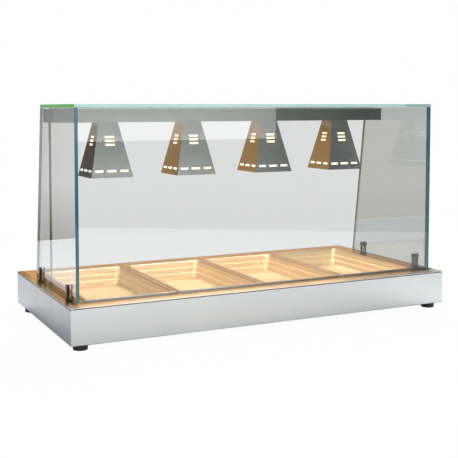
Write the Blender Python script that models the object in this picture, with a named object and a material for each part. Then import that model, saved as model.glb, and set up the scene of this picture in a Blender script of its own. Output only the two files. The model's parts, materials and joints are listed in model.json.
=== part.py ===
"""Hot food display case: a heated four-pan counter well under a glass canopy with four heat lamps.

Blender 4.5, metres, +Z up. The operator stands at +Y, the customers at -Y. The origin is the centre
of the bounding box's footprint, on the surface that the rubber feet stand on.
Sizes below are millimetres in the case's own frame: X from the left edge of the deck, Y from its
front edge, Z from the top of the deck plate. case_point() turns them into metres in world space.
"""
import math

import bmesh
import bpy
from mathutils import Matrix, Vector

# Driving sizes, millimetres
DECK_WIDTH = 1450.0
DECK_DEPTH = 688.0
BODY_HEIGHT = 119.0
FOOT_HEIGHT = 19.0
FOOT_FRONT_INSETS = (41.0, 35.0)
FOOT_REAR_INSETS = (31.0, 86.0)
CONTROL_PROTRUSION = 20.0
GAP = 0.3

# Sheet metal base
DECK_THICKNESS = 2.0
SEAL_THICKNESS = 1.9
SEAL_WIDTH = 9.0
SEAL_INSET = 1.0
PANEL_TOP = -4.5
PANEL_THICKNESS = 1.5
PANEL_RETURN = 14.0
PANEL_LOWER_RETURN = 6.0
MITRE_GAP = 0.2
FLOOR_THICKNESS = 1.5

# Pans and their well
PAN_COUNT = 4
PAN_WIDTH = 325.0
PAN_DEPTH = 530.0
PAN_PITCH = 327.5
PAN_CENTRE_Y = DECK_DEPTH / 2
PAN_FLANGE_TOP = 3.6
PAN_CORNER_RADIUS = 14.0
WELL_MARGIN = 10.0
WELL_FLOOR = -100.0
WELL_SHEET = 1.2
WELL_CORNER = 6.0
WELL_FLANGE = 12.0
RAIL_WIDTH = 20.0
RAIL_HEIGHT = 12.0
ELEMENT_RADIUS = 4.0
ELEMENT_HEIGHT = -82.0
ELEMENT_BEND = 40.0
ELEMENT_MARGIN = 100.0

# Glass canopy
GLASS = 10.0
GLASS_SIDE_INSET = 31.0
GLASS_FRONT_INSET = 43.0
GLASS_BOTTOM = 4.5
GLASS_TOP = 628.0
SIDE_PANE_FOOT = 525.0
SIDE_PANE_HEAD = 446.0
CLAMP_WIDTH = 20.0
CLAMP_WAIST = 12.0
CLAMP_FOOT = 4.0
CLAMP_HEIGHT = 52.0
CLAMP_OUTER_JAW = 9.0
CLAMP_INNER_JAW = 3.2
CLAMP_CENTRES = (120.0, 455.0)
CLAMP_SCREW_HEIGHT = 42.0

# Lamp beam and lamps
BEAM_FRONT = 332.0
BEAM_DEPTH = 112.0
BEAM_BOTTOM = 565.5
BEAM_TOP = 612.5
BEAM_SHEET = 1.5
BEAM_CAP = 1.7
STRIP_WIDTH = 60.0
POST_RADIUS = 4.3
POST_BORE = 3.3
POST_COLLAR = 5.6
POST_CENTRE = (59.0, 425.0)
LAMP_COUNT = 4
LAMP_PITCH = 321.5
LAMP_LINE = 367.5
SHADE_TOP = 565.2
SHADE_BOTTOM = 374.0
SHADE_TOP_WIDTH = 71.0
SHADE_BOTTOM_WIDTH = 154.0
SHADE_SHEET = 1.0
HOLDER_HOLE = 13.0
SLOT_HEIGHT = 7.5
UPPER_SLOT_WIDTH = 35.0
UPPER_SLOT_LEVELS = (0.264, 0.333, 0.403)
LOWER_SLOT_LEVEL = 0.878
LOWER_SLOTS = ((-0.325, 0.21), (-0.01, 0.24), (0.315, 0.21))

# Controls on the operator's side
CONTROL_HEIGHT = -63.0
KNOB_X = 1175.0
PILOT_X = 1228.0
HEAT_SWITCH_X = 1268.0
LAMP_SWITCH_X = 1316.0
GLAND_X = 120.0
KNOB_RADIUS = 21.0
DIAL_RADIUS = 31.0
ROCKER_REST = math.radians(8.0)
ROCKER_PIVOT_DEPTH = 3.0

ROUND = 16
MM = 0.001


def case_point(x, y, z):
    """World position in metres of a point in the case's own frame."""
    return Vector(((x - DECK_WIDTH / 2) * MM,
                   (y - (DECK_DEPTH + CONTROL_PROTRUSION) / 2) * MM,
                   (z + BODY_HEIGHT + FOOT_HEIGHT) * MM))


def make_material(name, colour, roughness, metallic=0.0, transmission=0.0):
    """A Principled material with one colour and one roughness."""
    material = bpy.data.materials.new(name)
    material.use_nodes = True
    shader = material.node_tree.nodes["Principled BSDF"]
    shader.inputs["Base Color"].default_value = (*colour, 1.0)
    shader.inputs["Roughness"].default_value = roughness
    shader.inputs["Metallic"].default_value = metallic
    shader.inputs["Transmission Weight"].default_value = transmission
    return material


def add_object(name, mesh, material, origin, smooth_angle=None):
    """Put a mesh, drawn in millimetres round its own origin, into the scene at a case position."""
    if mesh.materials:
        mesh.materials.clear()
    mesh.materials.append(material)
    if smooth_angle is not None:
        mesh.shade_smooth()
        mesh.set_sharp_from_angle(angle=math.radians(smooth_angle))
    item = bpy.data.objects.new(name, mesh)
    item.location = case_point(*origin)
    bpy.context.scene.collection.objects.link(item)
    return item


def finish_mesh(bm, name):
    """Turn a bmesh drawn in millimetres into a mesh in metres with its faces pointing out."""
    bmesh.ops.recalc_face_normals(bm, faces=bm.faces)
    bmesh.ops.scale(bm, vec=(MM, MM, MM), verts=bm.verts)
    mesh = bpy.data.meshes.new(name)
    bm.to_mesh(mesh)
    bm.free()
    return mesh


def add_box(bm, low, high):
    """Add a box between two corners."""
    size = Vector(high) - Vector(low)
    centre = (Vector(high) + Vector(low)) / 2
    place = Matrix.Translation(centre) @ Matrix.Diagonal((*size, 1.0))
    bmesh.ops.create_cube(bm, size=1.0, matrix=place)


def box_mesh(name, low, high):
    """A mesh of one box."""
    bm = bmesh.new()
    add_box(bm, low, high)
    return finish_mesh(bm, name)


def add_cylinder(bm, radius, start, length, axis, segments=ROUND):
    """Add a capped cylinder from a start point along 'X', 'Y' or 'Z'."""
    turns = {"X": Matrix.Rotation(math.pi / 2, 4, "Y"),
             "Y": Matrix.Rotation(-math.pi / 2, 4, "X"),
             "Z": Matrix.Identity(4)}
    place = Matrix.Translation(Vector(start)) @ turns[axis] @ Matrix.Translation((0, 0, length / 2))
    bmesh.ops.create_cone(bm, cap_ends=True, segments=segments, radius1=radius, radius2=radius,
                          depth=length, matrix=place)


def add_prism(bm, outline, low, high, axis):
    """Extrude a closed outline along an axis; the outline's two numbers fill the other two axes."""
    def place(pair, along):
        first, second = pair
        if axis == "X":
            return (along, first, second)
        if axis == "Y":
            return (first, along, second)
        return (first, second, along)

    start = bm.faces.new([bm.verts.new(place(pair, low)) for pair in outline])
    grown = bmesh.ops.extrude_face_region(bm, geom=[start], use_keep_orig=True)
    ends = [item for item in grown["geom"] if isinstance(item, bmesh.types.BMVert)]
    shift = Vector(place((0.0, 0.0), high - low))
    bmesh.ops.translate(bm, verts=ends, vec=shift)


def prism_mesh(name, outline, low, high, axis):
    """A mesh of one extruded outline."""
    bm = bmesh.new()
    add_prism(bm, outline, low, high, axis)
    return finish_mesh(bm, name)


def lathe_mesh(name, profile, axis, segments=ROUND):
    """Spin a profile of (radius, height) points round 'Y' or 'Z'.

    A profile that starts and ends on the axis gives a full body; any other is joined end to start.
    """
    bm = bmesh.new()
    points = [bm.verts.new((radius, 0.0, height)) for radius, height in profile]
    pairs = list(zip(points, points[1:]))
    if profile[0][0] > 0 or profile[-1][0] > 0:
        pairs.append((points[-1], points[0]))
    for first, second in pairs:
        bm.edges.new((first, second))
    bmesh.ops.spin(bm, geom=list(bm.verts) + list(bm.edges), cent=(0, 0, 0), axis=(0, 0, 1),
                   angle=2 * math.pi, steps=segments, use_merge=True)
    bmesh.ops.remove_doubles(bm, verts=bm.verts, dist=0.0001)
    if axis == "Y":
        bmesh.ops.rotate(bm, verts=bm.verts, cent=(0, 0, 0), matrix=Matrix.Rotation(-math.pi / 2, 3, "X"))
    return finish_mesh(bm, name)


def rounded_rectangle(half_x, half_y, radius, segments):
    """Corner points of a rounded rectangle round the origin, anticlockwise."""
    points = []
    for quarter, (sign_x, sign_y) in enumerate(((1, 1), (-1, 1), (-1, -1), (1, -1))):
        centre = (sign_x * (half_x - radius), sign_y * (half_y - radius))
        for step in range(segments + 1):
            angle = math.pi / 2 * (quarter + step / segments)
            points.append((centre[0] + radius * math.cos(angle), centre[1] + radius * math.sin(angle)))
    return points


def skin_mesh(name, loops, closed):
    """Skin a stack of point loops of equal length; cap the ends unless the stack closes on itself."""
    bm = bmesh.new()
    rings = [[bm.verts.new(point) for point in loop] for loop in loops]
    pairs = list(zip(rings, rings[1:]))
    if closed:
        pairs.append((rings[-1], rings[0]))
    for lower, upper in pairs:
        count = len(lower)
        for index in range(count):
            after = (index + 1) % count
            bm.faces.new((lower[index], lower[after], upper[after], upper[index]))
    if not closed:
        bm.faces.new(rings[0])
        bm.faces.new(rings[-1])
    return finish_mesh(bm, name)


def carve(mesh, operation, tool_bm):
    """Return the mesh after an exact Boolean with a tool drawn in the same millimetre frame."""
    tool_mesh = finish_mesh(tool_bm, "tool")
    tool = bpy.data.objects.new("tool", tool_mesh)
    tool.hide_render = True
    tool.display_type = "WIRE"
    work = bpy.data.objects.new("work", mesh)
    for item in (tool, work):
        bpy.context.scene.collection.objects.link(item)
    cut = work.modifiers.new("cut", "BOOLEAN")
    cut.operation = operation
    cut.solver = "EXACT"
    cut.object = tool
    graph = bpy.context.evaluated_depsgraph_get()
    result = bpy.data.meshes.new_from_object(work.evaluated_get(graph))
    bpy.data.objects.remove(work)
    bpy.data.objects.remove(tool)
    bpy.data.meshes.remove(tool_mesh)
    return result


def case_box(name, material, low, high):
    """A box node between two points of the case's frame, with its origin at its middle."""
    middle = (Vector(low) + Vector(high)) / 2
    mesh = box_mesh(name, Vector(low) - middle, Vector(high) - middle)
    return add_object(name, mesh, material, tuple(middle))


def pan_centres():
    """X of each pan's centre, left to right."""
    first = DECK_WIDTH / 2 - PAN_PITCH * (PAN_COUNT - 1) / 2
    return [first + PAN_PITCH * index for index in range(PAN_COUNT)]


def lamp_centres():
    """X of each lamp's centre, left to right."""
    first = DECK_WIDTH / 2 - LAMP_PITCH * (LAMP_COUNT - 1) / 2
    return [first + LAMP_PITCH * index for index in range(LAMP_COUNT)]


def well_half_sizes():
    """Half width and half depth of the deck's opening."""
    half_x = (PAN_PITCH * (PAN_COUNT - 1) + PAN_WIDTH) / 2 - WELL_MARGIN
    return half_x, PAN_DEPTH / 2 - WELL_MARGIN


def ring_mesh(name, outer, inner, bottom, top, radius=3.0, segments=2):
    """A flat frame: a rounded rectangle with a rounded opening, between two heights."""
    loops = []
    for (half_x, half_y), height in ((outer, bottom), (outer, top), (inner, top), (inner, bottom)):
        outline = rounded_rectangle(half_x, half_y, radius, segments)
        loops.append([(x, y, height) for x, y in outline])
    return skin_mesh(name, loops, closed=True)


def build_deck(steel, rubber):
    """Deck plate with the pan opening, and the dark sealing strip under its edge."""
    well_x, well_y = well_half_sizes()
    centre = (DECK_WIDTH / 2, DECK_DEPTH / 2, 0.0)
    outer = (DECK_WIDTH / 2, DECK_DEPTH / 2)
    deck = ring_mesh("deck_plate", outer, (well_x, well_y), -DECK_THICKNESS, 0.0, radius=1.5)
    add_object("deck_plate", deck, steel, centre)
    seal_outer = (outer[0] - SEAL_INSET, outer[1] - SEAL_INSET)
    seal_inner = (seal_outer[0] - SEAL_WIDTH, seal_outer[1] - SEAL_WIDTH)
    top = -DECK_THICKNESS - GAP
    seal = ring_mesh("deck_seal", seal_outer, seal_inner, top - SEAL_THICKNESS, top, radius=1.0)
    add_object("deck_seal", seal, rubber, centre)


def channel_outline(height):
    """Section of a folded panel: a web with a return along its top and bottom, web at 0."""
    upper = PANEL_RETURN
    lower = PANEL_LOWER_RETURN
    sheet = PANEL_THICKNESS
    return [(0.0, 0.0), (lower, 0.0), (lower, sheet), (sheet, sheet), (sheet, height - sheet),
            (upper, height - sheet), (upper, height), (0.0, height)]


def mitred_panel(name, length, height):
    """A folded panel along X whose ends are mitred at 45 degrees; its face looks to -Y."""
    outline = channel_outline(height)
    half = length / 2 - MITRE_GAP
    left = [(-half + depth, depth, level) for depth, level in outline]
    right = [(half - depth, depth, level) for depth, level in outline]
    return skin_mesh(name, [left, right], closed=False)


def build_panels(steel):
    """Front, rear and side panels of the base; the rear one is cut for the controls."""
    height = BODY_HEIGHT + PANEL_TOP
    level = -BODY_HEIGHT
    front = mitred_panel("front_panel", DECK_WIDTH, height)
    add_object("front_panel", front, steel, (DECK_WIDTH / 2, 0.0, level))
    rear = carve(mitred_panel("rear_panel", DECK_WIDTH, height), "DIFFERENCE", control_cutouts())
    rear_item = add_object("rear_panel", rear, steel, (DECK_WIDTH / 2, DECK_DEPTH, level))
    rear_item.rotation_euler.z = math.pi
    for name, x, turn in (("left_panel", 0.0, -math.pi / 2), ("right_panel", DECK_WIDTH, math.pi / 2)):
        side = mitred_panel(name, DECK_DEPTH, height)
        item = add_object(name, side, steel, (x, DECK_DEPTH / 2, level))
        item.rotation_euler.z = turn


def control_cutouts():
    """Holes of the rear panel, in the panel's own frame, where X runs from its middle to the left."""
    bm = bmesh.new()
    level = CONTROL_HEIGHT + BODY_HEIGHT
    middle = DECK_WIDTH / 2
    for x, radius in ((KNOB_X, 4.5), (PILOT_X, 5.6), (GLAND_X, 8.3)):
        add_cylinder(bm, radius, (middle - x, -2.0, level), 6.0, "Y")
    for x in (HEAT_SWITCH_X, LAMP_SWITCH_X):
        add_box(bm, (middle - x - 11.3, -2.0, level - 14.3), (middle - x + 11.3, 4.0, level + 14.3))
    return bm


def build_floor_and_feet(steel, rubber):
    """Bottom plate, lying on the panels' lower returns, and four tapered rubber feet."""
    inset = PANEL_THICKNESS + 4 * MITRE_GAP
    bottom = -BODY_HEIGHT + PANEL_THICKNESS + GAP
    case_box("base_floor", steel, (inset, inset, bottom),
             (DECK_WIDTH - inset, DECK_DEPTH - inset, bottom + FLOOR_THICKNESS))
    height = bottom - GAP + BODY_HEIGHT + FOOT_HEIGHT
    profile = [(0.0, 0.0), (22.7, 0.0), (23.5, 0.8), (24.3, height), (0.0, height)]
    foot = lathe_mesh("foot", profile, "Z", 24)
    front_side, front = FOOT_FRONT_INSETS
    rear_side, rear = FOOT_REAR_INSETS
    places = {"foot_front_left": (front_side, front), "foot_front_right": (DECK_WIDTH - front_side, front),
              "foot_rear_left": (rear_side, DECK_DEPTH - rear),
              "foot_rear_right": (DECK_WIDTH - rear_side, DECK_DEPTH - rear)}
    for name, (x, y) in places.items():
        add_object(name, foot.copy(), rubber, (x, y, -BODY_HEIGHT - FOOT_HEIGHT), 40)


def build_well(steel, element_metal):
    """Well liner hung under the deck, three pan rails and two tubular heating elements."""
    well_x, well_y = well_half_sizes()
    top = -DECK_THICKNESS - GAP
    # (distance outside the opening, height): the inside from the floor up, then the outside down
    section = [(0.0, WELL_FLOOR), (0.0, top), (WELL_FLANGE, top), (WELL_FLANGE, top - WELL_SHEET),
               (WELL_SHEET, top - WELL_SHEET), (WELL_SHEET, WELL_FLOOR - WELL_SHEET)]
    loops = []
    for grow, height in section:
        outline = rounded_rectangle(well_x + grow, well_y + grow, WELL_CORNER + grow, 2)
        loops.append([(x, y, height) for x, y in outline])
    add_object("well_liner", skin_mesh("well_liner", loops, closed=False), steel,
               (DECK_WIDTH / 2, PAN_CENTRE_Y, 0.0))

    centres = pan_centres()
    for index, (left, right) in enumerate(zip(centres, centres[1:]), start=1):
        x = (left + right) / 2
        case_box(f"pan_rail_{index}", steel,
                 (x - RAIL_WIDTH / 2, PAN_CENTRE_Y - well_y + GAP, -RAIL_HEIGHT),
                 (x + RAIL_WIDTH / 2, PAN_CENTRE_Y + well_y - GAP, 0.0))

    for side, first in (("left", 0), ("right", 2)):
        middle = (centres[first] + centres[first + 1]) / 2
        tube = element_mesh(f"heating_element_{side}", PAN_PITCH * 2 - ELEMENT_MARGIN, well_y - GAP)
        add_object(f"heating_element_{side}", tube, element_metal, (middle, PAN_CENTRE_Y, ELEMENT_HEIGHT), 40)


def flat_arc(centre, radius, start, end, steps):
    """Points of an arc in the XY plane, from one angle to another."""
    return [(centre[0] + radius * math.cos(start + (end - start) * step / steps),
             centre[1] + radius * math.sin(start + (end - start) * step / steps), 0.0)
            for step in range(steps + 1)]


def element_mesh(name, width, wall):
    """A serpentine tube of four runs along X whose two ends meet the well's rear wall."""
    bend = ELEMENT_BEND
    corner = bend / 2
    half = width / 2
    quarter = math.pi / 2
    rows = [-3 * bend, -bend, bend, 3 * bend]
    lane = -half - corner
    path = [(lane, wall, 0.0)]
    path += flat_arc((lane + corner, rows[0] + corner), corner, 2 * quarter, 3 * quarter, 3)
    path += flat_arc((half - bend, rows[0] + bend), bend, -quarter, quarter, 6)
    path += flat_arc((-half + bend, rows[1] + bend), bend, 3 * quarter, quarter, 6)
    path += flat_arc((half - bend, rows[2] + bend), bend, -quarter, quarter, 6)
    path += flat_arc((-half + bend + corner, rows[3] + corner), corner, 3 * quarter, 2 * quarter, 3)
    path += [(-half + bend, wall, 0.0)]
    return tube_mesh(name, path, ELEMENT_RADIUS, 8)


def tube_mesh(name, points, radius, sides):
    """A round tube along a flat run of points, with capped ends."""
    path = [Vector(point) for point in points]
    loops = []
    up = Vector((0, 0, 1))
    for index, point in enumerate(path):
        before = path[max(index - 1, 0)]
        after = path[min(index + 1, len(path) - 1)]
        side = (after - before).normalized().cross(up).normalized()
        loops.append([point + radius * (side * math.cos(2 * math.pi * k / sides)
                                        + up * math.sin(2 * math.pi * k / sides))
                      for k in range(sides)])
    return skin_mesh(name, loops, closed=False)


def pan_mesh():
    """A 1/1 size catering pan: turned-down rim, flat flange, stepped walls and a rounded bottom."""
    half_x = PAN_WIDTH / 2
    half_y = PAN_DEPTH / 2
    top = PAN_FLANGE_TOP
    # (inset from the rim, height, corner radius) of the inner surface, floor to rim
    inner = [(44.0, -62.0, 20.0), (34.0, -60.5, 26.0), (29.5, -55.0, 28.0), (27.5, -42.5, 28.0),
             (24.5, -40.5, 28.0), (23.0, -22.5, 27.0), (20.5, -20.5, 26.0), (18.5, -1.0, 24.0),
             (15.0, top, 22.0), (1.2, top, PAN_CORNER_RADIUS - 1.0), (0.0, top - 1.0, PAN_CORNER_RADIUS),
             (0.0, GAP, PAN_CORNER_RADIUS)]
    outer = [(1.0, GAP, PAN_CORNER_RADIUS - 1.0), (1.0, top - 1.2, PAN_CORNER_RADIUS - 1.0),
             (15.0, top - 1.2, 22.0), (17.5, -1.5, 24.0), (19.5, -21.0, 26.0), (22.0, -23.0, 27.0),
             (23.5, -41.0, 28.0), (26.5, -43.0, 28.0), (28.5, -56.0, 28.0), (33.5, -61.5, 26.0),
             (44.0, -63.0, 20.0)]
    loops = []
    for inset, height, radius in inner + outer:
        outline = rounded_rectangle(half_x - inset, half_y - inset, radius, 4)
        loops.append([(x, y, height) for x, y in outline])
    return skin_mesh("pan", loops, closed=False)


def build_pans(steel):
    """Four lift-out pans whose flanges rest on the deck and the rails."""
    shape = pan_mesh()
    for index, x in enumerate(pan_centres(), start=1):
        add_object(f"pan_{index}", shape.copy(), steel, (x, PAN_CENTRE_Y, 0.0), 30)


def build_glass(glass):
    """Front pane between two side panes, with the top pane laid on all three."""
    left = GLASS_SIDE_INSET
    right = DECK_WIDTH - GLASS_SIDE_INSET
    front = GLASS_FRONT_INSET
    pane_top = GLASS_TOP - GLASS - GAP
    case_box("front_glass", glass, (left + GLASS + GAP, front, GLASS_BOTTOM),
             (right - GLASS - GAP, front + GLASS, pane_top))
    case_box("top_glass", glass, (left, front, GLASS_TOP - GLASS), (right, SIDE_PANE_HEAD, GLASS_TOP))
    outline = [(front, GLASS_BOTTOM), (SIDE_PANE_FOOT, GLASS_BOTTOM), (SIDE_PANE_HEAD, pane_top),
               (front, pane_top)]
    for name, x in (("left_glass", left + GLASS / 2), ("right_glass", right - GLASS / 2)):
        pane = prism_mesh(name, outline, -GLASS / 2, GLASS / 2, "X")
        add_object(name, pane, glass, (x, 0.0, 0.0))


def clamp_outline(arc_steps=14):
    """Side view of a clamp jaw: a foot, a narrower waist and a round head."""
    half = CLAMP_WIDTH / 2
    waist = CLAMP_WAIST / 2
    middle = CLAMP_HEIGHT - half
    start = -math.acos(waist / half)
    sweep = math.pi - 2 * start
    head = []
    for step in range(arc_steps + 1):
        angle = start + sweep * step / arc_steps
        head.append((half * math.cos(angle), middle + half * math.sin(angle)))
    foot = [(-half, GAP), (half, GAP), (half, CLAMP_FOOT), (waist, CLAMP_FOOT + 2.0)]
    return foot + head + [(-waist, CLAMP_FOOT + 2.0), (-half, CLAMP_FOOT)]


def build_clamps(chrome, screw_steel):
    """Four clamps that stand on the deck and hold the side panes' lower edges, with their screws."""
    half_slot = GLASS / 2 + GAP
    inner_face = half_slot + CLAMP_INNER_JAW
    body = prism_mesh("clamp", clamp_outline(), -half_slot - CLAMP_OUTER_JAW, inner_face, "X")
    slot = bmesh.new()
    add_box(slot, (-half_slot, -CLAMP_WIDTH, GLASS_BOTTOM - GAP), (half_slot, CLAMP_WIDTH, CLAMP_HEIGHT + 9.0))
    body = carve(body, "DIFFERENCE", slot)
    head_start = inner_face + GAP
    for side, x, inward in (("left", GLASS_SIDE_INSET + GLASS / 2, 1),
                            ("right", DECK_WIDTH - GLASS_SIDE_INSET - GLASS / 2, -1)):
        for place, y in zip(("front", "rear"), CLAMP_CENTRES):
            clamp = add_object(f"glass_clamp_{place}_{side}", body.copy(), chrome, (x, y, 0.0), 30)
            if side == "right":
                clamp.rotation_euler.z = math.pi
            screw = screw_mesh(f"clamp_screw_{place}_{side}")
            item = add_object(f"clamp_screw_{place}_{side}", screw, screw_steel,
                              (x + inward * head_start, y, CLAMP_SCREW_HEIGHT), 40)
            item.rotation_euler.y = inward * math.pi / 2


def screw_mesh(name):
    """A low button head with a hexagon socket, standing on its flat side along +Z."""
    profile = [(0.0, 0.0), (6.5, 0.0), (6.5, 1.0), (5.6, 2.4), (4.0, 3.0), (0.0, 3.0)]
    head = lathe_mesh(name, profile, "Z", 16)
    socket = bmesh.new()
    add_cylinder(socket, 2.4, (0.0, 0.0, 1.3), 3.0, "Z", 6)
    return carve(head, "DIFFERENCE", socket)


def beam_ends():
    """X of the beam tube's two ends, inside its end caps and clear of the side panes."""
    left = GLASS_SIDE_INSET + GLASS + 0.5 + BEAM_CAP + GAP
    return left, DECK_WIDTH - left


def build_beam(steel, strip_material):
    """Rectangular lamp beam with end caps, the strip that bonds it to the top pane, and the wiring post."""
    left, right = beam_ends()
    front = BEAM_FRONT
    back = BEAM_FRONT + BEAM_DEPTH
    sheet = BEAM_SHEET
    middle = (front + back) / 2
    height = (BEAM_TOP + BEAM_BOTTOM) / 2
    outer = [(front, BEAM_BOTTOM), (back, BEAM_BOTTOM), (back, BEAM_TOP), (front, BEAM_TOP)]
    inner = [(front + sheet, BEAM_BOTTOM + sheet), (back - sheet, BEAM_BOTTOM + sheet),
             (back - sheet, BEAM_TOP - sheet), (front + sheet, BEAM_TOP - sheet)]
    half = (right - left) / 2
    loops = [[(x, y - middle, z - height) for y, z in section]
             for x, section in ((-half, outer), (half, outer), (half, inner), (-half, inner))]
    add_object("lamp_beam", skin_mesh("lamp_beam", loops, closed=True), steel,
               (DECK_WIDTH / 2, middle, height))
    for name, low in (("beam_cap_left", left - GAP - BEAM_CAP), ("beam_cap_right", right + GAP)):
        case_box(name, steel, (low, front, BEAM_BOTTOM), (low + BEAM_CAP, back, BEAM_TOP))
    case_box("beam_bond_strip", strip_material,
             (left + 12.0, middle - STRIP_WIDTH / 2, BEAM_TOP + GAP),
             (right - 12.0, middle + STRIP_WIDTH / 2, GLASS_TOP - GLASS - GAP))

    collar_top = GAP + 7.0
    top = BEAM_BOTTOM - GAP
    profile = [(POST_BORE, GAP), (POST_COLLAR, GAP), (POST_COLLAR, collar_top - 1.0),
               (POST_RADIUS, collar_top), (POST_RADIUS, top), (POST_BORE, top)]
    post = lathe_mesh("wiring_post", profile, "Z", 16)
    add_object("wiring_post", post, steel, (*POST_CENTRE, 0.0), 40)


def shade_half_width(height):
    """Half width of the shade's outside at a height above its lower edge."""
    share = height / (SHADE_TOP - SHADE_BOTTOM)
    return (SHADE_BOTTOM_WIDTH + (SHADE_TOP_WIDTH - SHADE_BOTTOM_WIDTH) * share) / 2


def shade_slots():
    """Offset, height and width of each vent slot in one face of the shade."""
    tall = SHADE_TOP - SHADE_BOTTOM
    slots = [(0.0, tall * (1 - level), UPPER_SLOT_WIDTH) for level in UPPER_SLOT_LEVELS]
    low = tall * (1 - LOWER_SLOT_LEVEL)
    width = 2 * shade_half_width(low)
    return slots + [(offset * width, low, share * width) for offset, share in LOWER_SLOTS]


def shade_mesh():
    """A four-sided tapered shade with vent slots, open below, closed above by its small top plate."""
    tall = SHADE_TOP - SHADE_BOTTOM
    ceiling = tall - SHADE_SHEET
    loops = []
    for half, height in ((shade_half_width(ceiling) - SHADE_SHEET, ceiling),
                         (shade_half_width(0.0) - SHADE_SHEET, 0.0),
                         (shade_half_width(0.0), 0.0), (shade_half_width(tall), tall)):
        loops.append([(x * half, y * half, height) for x, y in ((1, 1), (-1, 1), (-1, -1), (1, -1))])
    shell = skin_mesh("shade", loops, closed=False)
    tool = bmesh.new()
    add_cylinder(tool, HOLDER_HOLE, (0.0, 0.0, tall - 6.0), 9.0, "Z")
    for turn in range(4):
        quarter = Matrix.Rotation(turn * math.pi / 2, 3, "Z")
        for offset, height, width in shade_slots():
            reach = shade_half_width(height)
            before = set(tool.verts)
            add_box(tool, (offset - width / 2, -reach - 6.0, height - SLOT_HEIGHT / 2),
                    (offset + width / 2, -reach + 6.0, height + SLOT_HEIGHT / 2))
            added = [vert for vert in tool.verts if vert not in before]
            bmesh.ops.rotate(tool, verts=added, cent=(0, 0, 0), matrix=quarter)
    return carve(shell, "DIFFERENCE", tool)


def build_lamps(steel, holder_material, bulb_glass):
    """Four hanging heat lamps: shade, ceramic holder and reflector bulb."""
    middle = LAMP_LINE
    shade = shade_mesh()
    holder = lathe_mesh("holder", [(0.0, 0.0), (21.0, 0.0), (21.0, 30.0), (17.0, 34.0), (12.0, 34.0),
                                   (12.0, 46.2), (0.0, 46.2)], "Z")
    bulb = lathe_mesh("bulb", [(0.0, 0.0), (28.0, 3.0), (42.0, 11.0), (47.5, 24.0), (46.0, 36.0),
                               (34.0, 62.0), (20.0, 88.0), (14.0, 104.0), (13.5, 118.7), (0.0, 118.7)],
                      "Z", 20)
    holder_bottom = BEAM_BOTTOM - GAP - 46.2
    for index, x in enumerate(lamp_centres(), start=1):
        add_object(f"lamp_shade_{index}", shade.copy(), steel, (x, middle, SHADE_BOTTOM))
        add_object(f"lamp_holder_{index}", holder.copy(), holder_material, (x, middle, holder_bottom), 40)
        add_object(f"heat_lamp_{index}", bulb.copy(), bulb_glass, (x, middle, holder_bottom - GAP - 118.7), 50)


def build_thermostat(plastic, plate, dark):
    """Thermostat behind the rear panel, its dial plate and its turning knob."""
    origin = (KNOB_X, DECK_DEPTH, CONTROL_HEIGHT)
    body = box_mesh("thermostat_body", (-19.0, -44.0, -21.0), (19.0, -PANEL_THICKNESS - GAP, 21.0))
    shaft = bmesh.new()
    add_cylinder(shaft, 3.0, (0.0, -10.0, 0.0), 20.5, "Y", 12)
    add_object("thermostat_body", carve(body, "UNION", shaft), dark, origin)
    dial = lathe_mesh("dial_plate", [(4.5, GAP), (DIAL_RADIUS, GAP), (DIAL_RADIUS, 1.2), (4.5, 1.2)],
                      "Y", 32)
    add_object("dial_plate", dial, plate, origin, 40)
    low = 1.6
    high = CONTROL_PROTRUSION
    profile = [(3.4, low), (KNOB_RADIUS, low), (KNOB_RADIUS, low + 3.0), (17.5, low + 5.0),
               (16.5, high - 4.0), (0.0, high - 4.0), (0.0, 11.0), (3.4, 11.0)]
    knob = lathe_mesh("thermostat_knob", profile, "Y", 24)
    grip = bmesh.new()
    add_box(grip, (-4.0, high - 9.0, -16.0), (4.0, high, 19.5))
    add_object("thermostat_knob", carve(knob, "UNION", grip), plastic, origin, 35)


def build_switch(name, x, plastic, lit):
    """A rocker switch: a snap-in housing and its rocker, which rests tipped with its top out."""
    origin = (x, DECK_DEPTH, CONTROL_HEIGHT)
    flange = bmesh.new()
    add_box(flange, (-13.0, GAP, -16.0), (13.0, 2.2, 16.0))
    body = box_mesh(f"{name}_housing", (-11.0, -24.0, -14.0), (11.0, 1.0, 14.0))
    body = carve(body, "UNION", flange)
    recess = bmesh.new()
    add_box(recess, (-9.0, -9.0, -12.2), (9.0, 9.0, 12.2))
    add_object(f"{name}_housing", carve(body, "DIFFERENCE", recess), plastic, origin)
    pivot = -ROCKER_PIVOT_DEPTH
    outline = [(-3.5, -3.0), (-3.5, 3.0), (2.0, 11.0), (8.0, 11.0), (6.2, 5.0), (5.6, 0.0), (6.2, -5.0),
               (8.0, -11.0), (2.0, -11.0)]
    rocker = prism_mesh(f"{name}_rocker", outline, -8.6, 8.6, "X")
    item = add_object(f"{name}_rocker", rocker, lit, (x, DECK_DEPTH + pivot, CONTROL_HEIGHT))
    item.rotation_euler.x = -ROCKER_REST


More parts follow.
